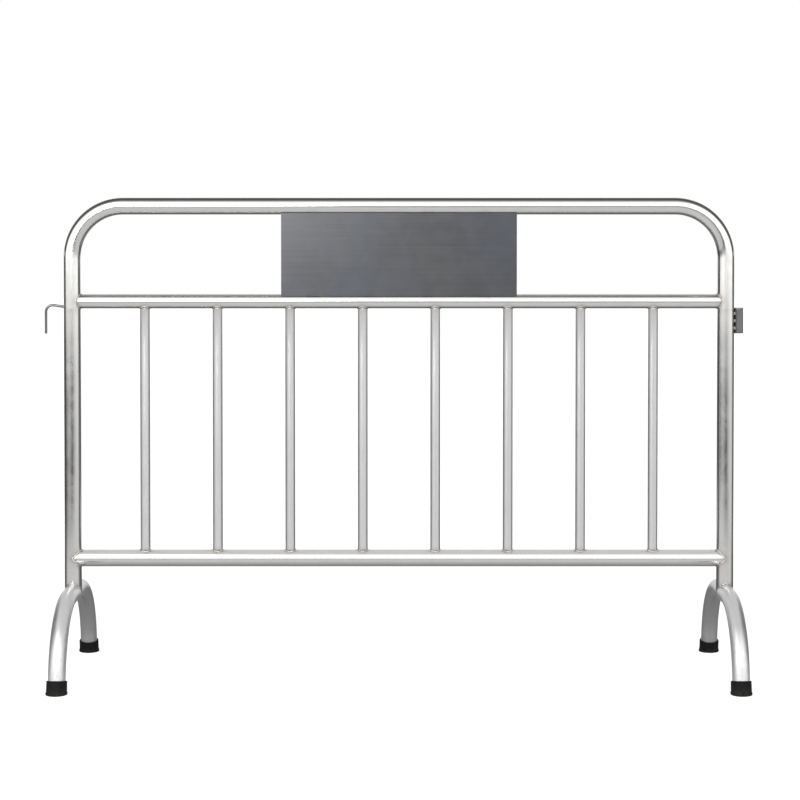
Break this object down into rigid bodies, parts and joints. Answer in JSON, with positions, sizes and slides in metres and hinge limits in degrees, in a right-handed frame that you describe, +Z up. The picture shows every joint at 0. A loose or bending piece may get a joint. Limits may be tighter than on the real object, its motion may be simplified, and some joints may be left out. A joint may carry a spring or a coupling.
{
  "type": "crowd control barrier",
  "caption": "Welded steel tube crowd barrier with a bent hoop, rails, upright bars, a blank sign plate, arched rubber-capped feet and a hook-and-socket link.",
  "frame": {"origin": "on the floor, at the middle of the barrier's box with its hook and socket", "axes": "+X along the barrier from the hook's end to the socket's end, +Y from the sign's side to the back, +Z up"},
  "size_m": [1.563, 0.51, 1.065],
  "materials": {
    "polished_tube": "mill-polished stainless tube with fine lengthwise lines",
    "satin_tube": "satin stainless tube with fine lengthwise lines and light handling marks",
    "sign_sheet": "dark satin stainless sheet, blank",
    "hook_rod": "drawn stainless rod, dull",
    "weld_bead": "rippled weld metal, brushed back, with a faint heat tint",
    "cap_rubber": "moulded black rubber, dusty and scuffed near the floor"
  },
  "bodies": {
    "root": {"top_hoop": "polished_tube", "upper_rail": "polished_tube", "lower_rail": "polished_tube", "baluster_1": "satin_tube", "baluster_2": "satin_tube", "baluster_3": "satin_tube", "baluster_4": "satin_tube", "baluster_5": "satin_tube", "baluster_6": "satin_tube", "baluster_7": "satin_tube", "baluster_8": "satin_tube", "sign_plate": "sign_sheet", "left_foot_arch": "satin_tube", "right_foot_arch": "satin_tube", "left_front_cap": "cap_rubber", "left_rear_cap": "cap_rubber", "right_front_cap": "cap_rubber", "right_rear_cap": "cap_rubber", "link_hook": "hook_rod", "link_socket": "satin_tube", "upper_rail_welds": "weld_bead", "lower_rail_welds": "weld_bead", "baluster_top_welds": "weld_bead", "baluster_bottom_welds": "weld_bead", "foot_welds": "weld_bead", "hook_weld": "weld_bead", "socket_welds": "weld_bead", "sign_top_tacks": "weld_bead", "sign_bottom_tacks": "weld_bead"}
  },
  "joints": []
}
